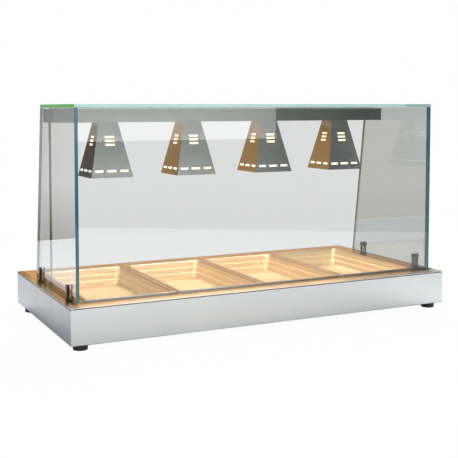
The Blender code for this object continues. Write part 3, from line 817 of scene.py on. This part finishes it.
@dataclass
class Pan:
    """One lift-out pan, drawn from stacked rounded outlines."""

    number: int
    segments: int = 10
    wall: float = 0.8 * MM
    rim_depth: float = 3.6 * MM
    lug_radius: float = 3.4 * MM
    lug_from_side: float = 52.0 * MM
    # (drop below the rim, inset from its rear), millimetres
    lug_places: tuple[tuple[float, float], ...] = ((11.5, 17.6), (31.5, 23.2))
    # (inset from the rim, height over the rim's lower edge, corner radius), rim to floor, millimetres
    section: tuple[tuple[float, float, float], ...] = (
        (1.0, 0.2, 13.0), (0.0, 0.2, 14.0), (0.0, 2.3, 14.0), (0.35, 2.95, 13.7), (1.2, 3.3, 13.0),
        (12.0, 3.3, 22.0), (14.0, 2.9, 24.0), (15.6, 1.8, 25.0), (16.8, -0.5, 26.0), (18.6, -18.0, 27.0),
        (19.0, -19.4, 27.0), (22.0, -20.9, 28.0), (22.6, -22.4, 28.0), (24.2, -38.0, 29.0),
        (24.6, -39.6, 29.0), (27.2, -41.0, 30.0), (27.9, -42.6, 30.0), (29.6, -53.0, 31.0),
        (30.6, -56.6, 31.0), (33.0, -59.6, 30.0), (37.5, -61.6, 28.0), (46.0, -62.0, 22.0))

    def outline(self, bm: bmesh.types.BMesh, middle: Vector, half: Vector, inset: float, height: float,
                radius: float) -> list[bmesh.types.BMEdge]:
        """Add one rounded rectangle as a loop of edges.

        Args:
            bm: the shape.
            middle: the pan's centre in plan, at the rim's lower edge.
            half: half width and half depth.
            inset: distance inside the rim, millimetres.
            height: height over the rim's lower edge, millimetres.
            radius: corner radius, millimetres.

        Returns:
            The loop's edges.
        """
        level = middle.z + height * MM
        plan = bmesh.new()
        sheet = bmesh.ops.create_grid(plan, x_segments=1, y_segments=1, size=1.0)["verts"]
        bmesh.ops.scale(plan, verts=sheet, vec=(half.x - inset * MM, half.y - inset * MM, 1.0))
        bmesh.ops.translate(plan, verts=sheet, vec=(middle.x, middle.y, level))
        bmesh.ops.bevel(plan, geom=list(plan.verts), offset=radius * MM * math.sqrt(0.5),
                        segments=self.segments, profile=0.5, affect="VERTICES", material=-1)
        mesh = bpy.data.meshes.new("outline")
        plan.to_mesh(mesh)
        plan.free()
        known = len(bm.faces)
        bm.from_mesh(mesh)
        bpy.data.meshes.remove(mesh)
        bm.faces.ensure_lookup_table()
        face = bm.faces[known]
        edges = list(face.edges)
        bmesh.ops.delete(bm, geom=[face], context="FACES_ONLY")
        return edges

    def lugs(self, corner: Vector, steel: bpy.types.Material) -> None:
        """Build the small stacking lugs on the rear wall, near its right end.

        Args:
            corner: the rim's rear right corner, at the rim's lower edge.
            steel: the lugs' finish.
        """
        bm = bmesh.new()
        for drop, inset in self.lug_places:
            dome = bmesh.ops.create_uvsphere(bm, u_segments=20, v_segments=12,
                                             radius=self.lug_radius)["verts"]
            bmesh.ops.scale(bm, verts=dome, vec=(1.0, 0.6, 1.0))
            place = corner - Vector((self.lug_from_side, inset * MM, drop * MM))
            bmesh.ops.translate(bm, verts=dome, vec=place)
        to_piece(f"pan_{self.number}_lugs", bm, [steel], body_of(f"pan_{self.number}"),
                 smooth=60.0)

    def build(self, steel: bpy.types.Material, rim: bpy.types.Material) -> None:
        """Build the pan in place of its CAD node.

        Args:
            steel: the bowl's finish.
            rim: the flat flange's finish.
        """
        node = f"pan_{self.number}"
        low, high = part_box(node)
        rim_low = high.z - self.rim_depth
        middle = Vector(((low.x + high.x) / 2, (low.y + high.y) / 2, rim_low))
        half = (high - low) / 2
        bm = bmesh.new()
        loops = [self.outline(bm, middle, half, inset, height, radius)
                 for inset, height, radius in self.section]
        for upper, lower in zip(loops, loops[1:]):
            bmesh.ops.bridge_loops(bm, edges=upper + lower)
        bmesh.ops.contextual_create(bm, geom=loops[-1])
        bmesh.ops.recalc_face_normals(bm, faces=bm.faces)
        floor = min(bm.faces, key=lambda face: face.calc_center_median().z)
        if floor.normal.z < 0.0:
            bmesh.ops.reverse_faces(bm, faces=bm.faces)
        for face in bm.faces:
            face.material_index = int(face.calc_center_median().z > rim_low)
        self.lugs(Vector((high.x, high.y, rim_low)), rim)
        item = to_piece(f"{node}_fine", bm, [steel, rim], body_of(node), [node], smooth=50.0)
        wall = item.modifiers.new("wall", "SOLIDIFY")
        wall.thickness = self.wall
        wall.offset = -1.0


@dataclass
class Canopy:
    """The four panes with their coloured edges, the clamps and their screws."""

    chamfer: float = 0.6 * MM
    face: PaneFace = PaneFace("pane_face", (0.872, 0.88, 0.876), 0.05)
    # The side, top and far panes get darker tints than the front pane: painted shade.
    side_face: PaneFace = PaneFace("side_pane_face_painted_shade", (0.825, 0.835, 0.83), 0.045)
    far_face: PaneFace = PaneFace("far_pane_face_painted_shade", (0.795, 0.81, 0.805), 0.045)
    corner_edge: PaneEdge = PaneEdge("pane_edge_teal", (0.014, 0.085, 0.1), (0.03, 0.14, 0.16))
    # The mint and green edges carry a painted glow; the mint edge has painted shade towards its right end.
    top_edge: PaneEdge = PaneEdge("pane_edge_mint", (0.25, 0.395, 0.355), (0.31, 0.455, 0.415), Axis.X,
                                  glow=0.3, deep_from=0.575)
    side_edge: PaneEdge = PaneEdge("pane_edge_green", (0.01, 0.24, 0.008), (0.03, 0.36, 0.02), Axis.Y, 0.45)
    rear_edge: PaneEdge = PaneEdge("pane_edge_grey", (0.24, 0.27, 0.26), (0.34, 0.38, 0.36))
    foot_edge: PaneEdge = PaneEdge("pane_edge_brown", (0.08, 0.065, 0.05), (0.14, 0.12, 0.09), Axis.X)
    dark_chrome: PolishedMetal = PolishedMetal("dark_chrome", (0.045, 0.036, 0.03), 0.16)
    screw_metal: PolishedMetal = PolishedMetal("clamp_screw_metal", (0.09, 0.08, 0.07), 0.2)

    def pane(self, node: str, thin: Axis, face: bpy.types.Material,
             edges: dict[tuple[int, int], bpy.types.Material], plain_edge: bpy.types.Material) -> None:
        """Build a pane with a chamfer, its clear faces and its edges.

        Args:
            node: the CAD node.
            thin: the axis across the pane.
            face: material of the two clear faces.
            edges: edge materials by the axis number and sign of the way that the edge looks.
            plain_edge: material of the other edges.
        """
        bm = merged_copy(node)
        round_edges(bm, self.chamfer, 1, 20.0)
        materials = [face, plain_edge] + list(edges.values())
        for item in bm.faces:
            if abs(item.normal[thin.value]) > 0.99:
                item.material_index = 0
                continue
            item.material_index = 1
            for index, (way, sign) in enumerate(edges):
                if item.normal[way] * sign > 0.6:
                    item.material_index = 2 + index
        to_piece(f"{node}_fine", bm, materials, body_of(node), [node])

    def build(self) -> None:
        """Build the panes, then the clamps."""
        face = self.face.make()
        side_face = self.side_face.make()
        teal = self.corner_edge.make()
        mint = self.top_edge.make()
        green = self.side_edge.make()
        grey = self.rear_edge.make()
        brown = self.foot_edge.make()
        self.pane("front_glass", Axis.Y, face, {(2, 1): mint, (2, -1): brown}, teal)
        self.pane("top_glass", Axis.Z, side_face, {(1, -1): mint, (0, -1): green, (0, 1): green}, grey)
        for node, clear in (("left_glass", side_face), ("right_glass", self.far_face.make())):
            self.pane(node, Axis.X, clear, {(1, -1): teal, (2, -1): brown}, grey)
        chrome = self.dark_chrome.make()
        screw = self.screw_metal.make()
        for end in ("front", "rear"):
            for side in ("left", "right"):
                softened(f"glass_clamp_{end}_{side}", 0.9 * MM, chrome,
                         sharp=40.0, smooth=50.0)
                softened(f"clamp_screw_{end}_{side}", 0.3 * MM, screw, sharp=35.0, smooth=40.0)


@dataclass
class Lamps:
    """The lamp beam, its post, and four shaded heat lamps."""

    liner_gap: float = 1.6 * MM
    liner_rise: float = 4.0 * MM
    shade_top_half: float = 35.5 * MM
    bulb_rim: float = 24.0 * MM
    beam_steel: BrushedSteel = BrushedSteel("beam_steel", (0.32, 0.35, 0.325), Axis.X, 0.26)
    shade_steel: BrushedSteel = BrushedSteel("shade_steel", (0.5, 0.51, 0.485), Axis.X, 0.24, scratch=0.35)
    post_steel: BrushedSteel = BrushedSteel("post_steel", (0.2, 0.2, 0.185), Axis.Z, 0.4)
    reflector: GlowingEnamel = GlowingEnamel("lamp_reflector_painted_glow")
    ceramic: Moulded = Moulded("holder_ceramic", (0.8, 0.77, 0.7), 0.35, 200.0)
    strip: Moulded = Moulded("bond_strip_grey", (0.62, 0.63, 0.62), 0.6)

    def liner(self, index: int, enamel: bpy.types.Material) -> None:
        """Build a shade's white inner reflector, a little inside its walls, which carries a painted glow.

        Args:
            index: the lamp's number.
            enamel: the reflector's painted-glow finish.
        """
        low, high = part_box(f"lamp_shade_{index}")
        middle = (low + high) / 2
        wide = (high.x - low.x) / 2 - self.liner_gap
        slope = (wide + self.liner_gap - self.shade_top_half) / (high.z - low.z)
        bottom = low.z + self.liner_rise
        top = high.z - self.liner_rise
        bm = bmesh.new()
        bmesh.ops.create_cone(bm, segments=4, cap_ends=False, depth=top - bottom,
                              radius1=(wide - slope * self.liner_rise) * math.sqrt(2.0),
                              radius2=(wide - slope * (top - low.z)) * math.sqrt(2.0))
        bmesh.ops.rotate(bm, verts=bm.verts, cent=(0, 0, 0), matrix=Matrix.Rotation(math.pi / 4, 3, "Z"))
        bmesh.ops.translate(bm, verts=bm.verts, vec=(middle.x, middle.y, (top + bottom) / 2))
        bmesh.ops.recalc_face_normals(bm, faces=bm.faces)
        item = to_piece(f"lamp_reflector_{index}", bm, [enamel], "case")
        wall = item.modifiers.new("wall", "SOLIDIFY")
        wall.thickness = 0.5 * MM
        wall.offset = -1.0

    def build(self) -> None:
        """Build the beam, the post and every lamp."""
        beam = self.beam_steel.make()
        softened("lamp_beam", 0.8 * MM, beam)
        for side in ("left", "right"):
            softened(f"beam_cap_{side}", 0.5 * MM, beam)
        dress("beam_bond_strip", self.strip.make())
        softened("wiring_post", 0.6 * MM, self.post_steel.make(), sharp=60.0, smooth=40.0)
        shade = self.shade_steel.make()
        ceramic = self.ceramic.make()
        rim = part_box("heat_lamp_1")[0].z + self.bulb_rim
        glow = BulbGlow("bulb_glow", rim).make()
        low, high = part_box("lamp_shade_1")
        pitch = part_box("lamp_shade_2")[0].x - low.x
        enamel = replace(self.reflector, low=low.z, high=high.z, first=(low.x + high.x) / 2,
                         pitch=pitch).make()
        for index in range(1, LAMP_COUNT + 1):
            dress(f"lamp_shade_{index}", shade)
            self.liner(index, enamel)
            softened(f"lamp_holder_{index}", 1.0 * MM, ceramic, sharp=40.0, smooth=40.0)
            dress(f"heat_lamp_{index}", glow)
            frame["nodes"][f"heat_lamp_{index}"].data.shade_smooth()


@dataclass
class Controls:
    """The operator's controls on the rear panel and what lies behind it."""

    black: Moulded = Moulded("control_black", (0.018, 0.018, 0.02), 0.4)
    red: Moulded = Moulded("rocker_red", (0.45, 0.015, 0.01), 0.25, coat=0.4)
    dial: BrushedSteel = BrushedSteel("dial_plate_satin", (0.72, 0.72, 0.73), Axis.X, 0.4)
    amber: Lens = Lens("pilot_amber", (0.95, 0.36, 0.03))
    ink: Moulded = Moulded("scale_ink", (0.02, 0.02, 0.022), 0.6)
    white: Moulded = Moulded("pointer_white", (0.8, 0.8, 0.78), 0.5)
    screw_metal: PolishedMetal = PolishedMetal("panel_screw_metal", (0.5, 0.5, 0.49), 0.22)
    tick_count: int = 25
    tick_radius: float = 24.0 * MM
    numeral_radius: float = 28.0 * MM
    scale_start: float = -135.0
    scale_sweep: float = 270.0

    def bar(self, bm: bmesh.types.BMesh, size: Sequence[float], offset: Sequence[float], turn: float,
            centre: Vector) -> None:
        """Add a small raised bar, offset from a centre and turned about the Y axis through it.

        Args:
            bm: the shape it joins.
            size: its three sizes in metres.
            offset: its place before the turn.
            turn: degrees about Y.
            centre: what it turns about.
        """
        verts = bmesh.ops.create_cube(bm, size=1.0)["verts"]
        bmesh.ops.scale(bm, verts=verts, vec=size)
        bmesh.ops.translate(bm, verts=verts, vec=offset)
        bmesh.ops.rotate(bm, verts=verts, cent=(0, 0, 0), matrix=Matrix.Rotation(math.radians(turn), 3, "Y"))
        bmesh.ops.translate(bm, verts=verts, vec=centre)

    def scale_marks(self) -> None:
        """Build the dial plate's ticks and its numerals."""
        low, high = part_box("dial_plate")
        centre = Vector(((low.x + high.x) / 2, high.y + 0.05 * MM, (low.z + high.z) / 2))
        bm = bmesh.new()
        for step in range(self.tick_count):
            angle = self.scale_start + self.scale_sweep * step / (self.tick_count - 1)
            length = (2.6 if step % 4 == 0 else 1.4) * MM
            offset = (0.0, 0.0, self.tick_radius + length / 2)
            self.bar(bm, (0.5 * MM, 0.1 * MM, length), offset, -angle, centre)
        stand_up = Matrix(((-1.0, 0.0, 0.0), (0.0, 0.0, 1.0), (0.0, 1.0, 0.0)))
        for number in range(7):
            curve = bpy.data.curves.new("numeral", "FONT")
            curve.body = str(number)
            curve.size = 4.2 * MM
            curve.extrude = 0.05 * MM
            curve.align_x, curve.align_y = "CENTER", "CENTER"
            item = bpy.data.objects.new("numeral", curve)
            mesh = bpy.data.meshes.new_from_object(item)
            known = len(bm.verts)
            bm.from_mesh(mesh)
            bm.verts.ensure_lookup_table()
            verts = bm.verts[known:]
            bpy.data.objects.remove(item)
            bpy.data.curves.remove(curve)
            bpy.data.meshes.remove(mesh)
            angle = math.radians(self.scale_start + self.scale_sweep * number / 6)
            place = Vector((-math.sin(angle), 0.0, math.cos(angle))) * self.numeral_radius
            bmesh.ops.rotate(bm, verts=verts, cent=(0, 0, 0), matrix=stand_up)
            bmesh.ops.translate(bm, verts=verts, vec=centre + place)
        to_piece("dial_scale", bm, [self.ink.make()], "case")

    def pointer(self) -> None:
        """Build the white line on the knob, which turns with it."""
        low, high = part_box("thermostat_knob")
        centre = Vector(((low.x + high.x) / 2, high.y + 0.05 * MM, (low.z + high.z) / 2))
        bm = bmesh.new()
        self.bar(bm, (1.4 * MM, 0.3 * MM, 11.0 * MM), (0.0, 0.0, 10.5 * MM), -self.scale_start, centre)
        round_edges(bm, 0.1 * MM, 2)
        to_piece("knob_pointer", bm, [self.white.make()], body_of("thermostat_knob"))

    def panel_screws(self, count: int = 6) -> None:
        """Build the row of button-head screws along the rear panel's lower edge.

        Args:
            count: how many screws.
        """
        low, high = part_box("rear_panel")
        bm = bmesh.new()
        span = high.x - low.x - 80.0 * MM
        for index in range(count):
            head = bmesh.ops.create_cone(bm, segments=24, cap_ends=True, radius1=4.0 * MM, radius2=2.6 * MM,
                                         depth=2.2 * MM)["verts"]
            faces = {face for vert in head for face in vert.link_faces}
            top = max(faces, key=lambda face: face.calc_center_median().z)
            bmesh.ops.inset_individual(bm, faces=[top], thickness=1.1 * MM)
            bmesh.ops.translate(bm, verts=top.verts, vec=(0.0, 0.0, -1.3 * MM))
            head = list({vert for vert in bm.verts if abs(vert.co.y) < 0.01 and abs(vert.co.x) < 0.01})
            bmesh.ops.rotate(bm, verts=head, cent=(0, 0, 0), matrix=Matrix.Rotation(-math.pi / 2, 3, "X"))
            bmesh.ops.translate(bm, verts=head, vec=(low.x + 40.0 * MM + span * index / (count - 1),
                                                     high.y + 1.15 * MM, low.z + 9.0 * MM))
        bmesh.ops.recalc_face_normals(bm, faces=bm.faces)
        to_piece("rear_panel_screws", bm, [self.screw_metal.make()], "case", smooth=40.0)

    def build(self) -> None:
        """Build and dress the controls."""
        self.scale_marks()
        self.pointer()
        self.panel_screws()
        black = self.black.make()
        red = self.red.make()
        softened("thermostat_knob", 0.8 * MM, black, sharp=35.0, smooth=40.0)
        dress("thermostat_body", black)
        dress("terminal_block", black)
        softened("dial_plate", 0.25 * MM, self.dial.make(), sharp=60.0, smooth=40.0)
        for name in ("heat_switch", "lamp_switch"):
            softened(f"{name}_housing", 0.6 * MM, black)
            softened(f"{name}_rocker", 0.5 * MM, red, sharp=35.0, smooth=35.0)
        softened("pilot_lamp", 0.3 * MM, self.amber.make(), sharp=60.0, smooth=50.0)
        softened("cable_gland", 0.6 * MM, black, sharp=40.0, smooth=30.0)


# ---------------------------------------------------------------------------------------------
# Studio
# ---------------------------------------------------------------------------------------------

@dataclass
class Studio:
    """Camera, floor, world and lights."""

    camera_place: tuple[float, float, float] = (-1.4874, -2.9037, 0.7527)
    camera_pitch: float = 86.48
    camera_roll: float = 0.1
    camera_yaw: float = -25.07
    focal_length: float = 68.34
    shift: tuple[float, float] = (0.0692, -0.1472)
    floor_left: float = -3.2
    floor_right: float = 3.2
    floor_front: float = -3.05
    floor_slope: float = 0.6
    floor_back: float = 1.93
    heat_power: float = 5.0
    heat_colour: tuple[float, float, float] = (1.0, 0.56, 0.24)
    heat_angle: float = 135.0
    bulb_gap: float = 3.0 * MM

    def camera(self) -> None:
        """Place the camera."""
        data = bpy.data.cameras.new("view_camera")
        data.sensor_width = 36.0
        data.lens = self.focal_length
        data.shift_x, data.shift_y = self.shift
        data.clip_end = 200.0
        item = bpy.data.objects.new("view_camera", data)
        item.location = self.camera_place
        angles = (self.camera_pitch, self.camera_roll, self.camera_yaw)
        item.rotation_euler = [math.radians(angle) for angle in angles]
        bpy.context.scene.collection.objects.link(item)
        bpy.context.scene.camera = item

    def floor(self) -> None:
        """A plain pale floor, which the eye sees almost white."""
        bm = bmesh.new()
        bmesh.ops.create_grid(bm, x_segments=1, y_segments=1, size=0.5)
        bmesh.ops.scale(bm, verts=bm.verts, vec=(self.floor_right - self.floor_left,
                                                 self.floor_back - self.floor_front, 1.0))
        bmesh.ops.translate(bm, verts=bm.verts, vec=((self.floor_right + self.floor_left) / 2,
                                                     (self.floor_back + self.floor_front) / 2, 0.0))
        for vert in bm.verts:
            if vert.co.y < 0.0:
                vert.co.y += self.floor_slope * vert.co.x
        mesh = bpy.data.meshes.new("floor")
        bm.to_mesh(mesh)
        bm.free()

        def draw(board: Board) -> bpy.types.NodeSocket:
            """Matt white; the eye's own rays see it a little brighter than the reflections do.

            Args:
                board: the floor material's node tree.

            Returns:
                The surface shader.
            """
            matt = board.raw("ShaderNodeBsdfDiffuse", {}, {"Color": (0.8, 0.8, 0.8, 1.0)}).outputs[0]
            bright = board.raw("ShaderNodeEmission", {}, {"Color": (1.0, 1.0, 1.0, 1.0),
                                                          "Strength": 1.0}).outputs[0]
            eye = board.node("ShaderNodeLightPath", {}, {}, "Is Camera Ray")
            return board.raw("ShaderNodeMixShader", {}, {0: eye * 0.97, 1: matt, 2: bright}).outputs[0]

        mesh.materials.append(new_material("studio_floor", draw))
        item = bpy.data.objects.new("floor", mesh)
        bpy.context.scene.collection.objects.link(item)

    def world(self) -> None:
        """A white surround for the eye, grey walls for reflections, and a soft sky for matt things."""
        world = bpy.data.worlds.new("studio")
        world.use_nodes = True
        bpy.context.scene.world = world
        board = Board(world.node_tree)
        way = board.raw("ShaderNodeTexCoord", {}, {}).outputs["Generated"]
        height = Signal(board, board.raw("ShaderNodeSeparateXYZ", {}, {0: way}).outputs[2])
        depth = Signal(board, board.raw("ShaderNodeSeparateXYZ", {}, {0: way}).outputs[1])
        level = height * 0.5 + 0.5
        ahead = board.raw("ShaderNodeValToRGB", {"stops": (
            (0.0, (0.02, 0.02, 0.02)), (0.428, (0.02, 0.02, 0.025)), (0.4565, (0.3, 0.305, 0.31)),
            (0.5, (0.3, 0.3, 0.3)), (0.53, (0.22, 0.22, 0.22)), (0.6, (0.2, 0.2, 0.2)),
            (0.72, (0.28, 0.28, 0.28)), (1.0, (0.8, 0.8, 0.8)))}, {0: level}).outputs[0]
        behind = board.raw("ShaderNodeValToRGB", {"stops": (
            (0.0, (0.02, 0.02, 0.02)), (0.428, (0.02, 0.02, 0.025)), (0.4565, (0.55, 0.555, 0.57)),
            (0.5, (0.55, 0.55, 0.55)), (0.52, (0.04, 0.04, 0.04)), (0.64, (0.03, 0.03, 0.03)),
            (0.75, (0.2, 0.2, 0.2)), (1.0, (0.8, 0.8, 0.8)))}, {0: level}).outputs[0]
        walls = board.blend(depth.rise(-0.15, 0.15), ahead, behind)
        rays = board.raw("ShaderNodeLightPath", {}, {})
        eye = rays.outputs["Is Camera Ray"]
        shiny = rays.outputs["Is Glossy Ray"]
        seen = board.blend(shiny, (0.4, 0.43, 0.48), walls)
        colour = board.blend(eye, seen, (1.0, 1.0, 1.0))
        surround = board.raw("ShaderNodeBackground", {}, {"Color": colour, "Strength": 1.0}).outputs[0]
        board.raw("ShaderNodeOutputWorld", {}, {"Surface": surround})

    def area(self, name: str, place: Sequence[float], target: Sequence[float], size: tuple[float, float],
             power: float, colour: Sequence[float] = (1.0, 1.0, 1.0)) -> None:
        """Add a soft rectangular light.

        Args:
            name: the light's name.
            place: where it stands.
            target: what it faces.
            size: width and height in metres.
            power: watts.
            colour: its colour.
        """
        data = bpy.data.lights.new(name, "AREA")
        data.shape = "RECTANGLE"
        data.size, data.size_y = size
        data.energy = power
        data.color = colour
        item = bpy.data.objects.new(name, data)
        item.location = place
        item.rotation_euler = (Vector(target) - Vector(place)).to_track_quat("-Z", "Y").to_euler()
        bpy.context.scene.collection.objects.link(item)

    def heat_lights(self) -> None:
        """Warm light from each bulb's face, straight down."""
        for index in range(1, LAMP_COUNT + 1):
            low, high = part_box(f"heat_lamp_{index}")
            data = bpy.data.lights.new(f"heat_light_{index}", "SPOT")
            data.energy = self.heat_power
            data.color = self.heat_colour
            data.spot_size = math.radians(self.heat_angle)
            data.spot_blend = 0.6
            data.shadow_soft_size = 0.04
            item = bpy.data.objects.new(f"heat_light_{index}", data)
            item.location = ((low.x + high.x) / 2, (low.y + high.y) / 2, low.z - self.bulb_gap)
            bpy.context.scene.collection.objects.link(item)

    def build(self) -> None:
        """Set up the whole studio."""
        bpy.context.scene.view_settings.view_transform = "Standard"
        self.camera()
        self.floor()
        self.world()
        self.heat_lights()
        self.area("key_light", (0.9, 1.6, 3.2), (0.0, -0.5, 0.1), (2.0, 2.0), 172.0)
        self.area("fill_light", (-1.6, -3.2, 2.6), (0.0, -1.2, 0.0), (1.6, 1.2), 100.0)
        self.area("front_softbox", (1.63, -5.0, 1.46), (1.63, 0.0, 1.46), (2.26, 2.0), 28.0)
        self.area("warm_card", (0.45, 0.9, 0.53), (0.45, 0.0, 0.53), (2.3, 0.76), 4.1, (1.0, 0.52, 0.13))


def main() -> None:
    """Build the studio and every sub-assembly in order."""
    logging.basicConfig(level=logging.INFO, format="%(name)s: %(message)s")
    Studio().build()
    Base().build()
    Well().build()
    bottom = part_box("pan_1")[0].z
    # The pans' and rims' warm colours are painted lamplight over steel.
    pan_steel_painted_light = PanSteel("pan_steel_painted_light", (0.9, 0.77, 0.53), Axis.X, 0.58, 0.08, 0.12, bottom_level=bottom).make()
    rim_steel = DeckSteel("pan_rim_steel", (0.56, 0.42, 0.28), Axis.X, 0.3, 0.08, 0.12).make()
    for number in range(1, PAN_COUNT + 1):
        Pan(number).build(pan_steel_painted_light, rim_steel)
    Canopy().build()
    Lamps().build()
    Controls().build()


if __name__ == "__main__":
    main()
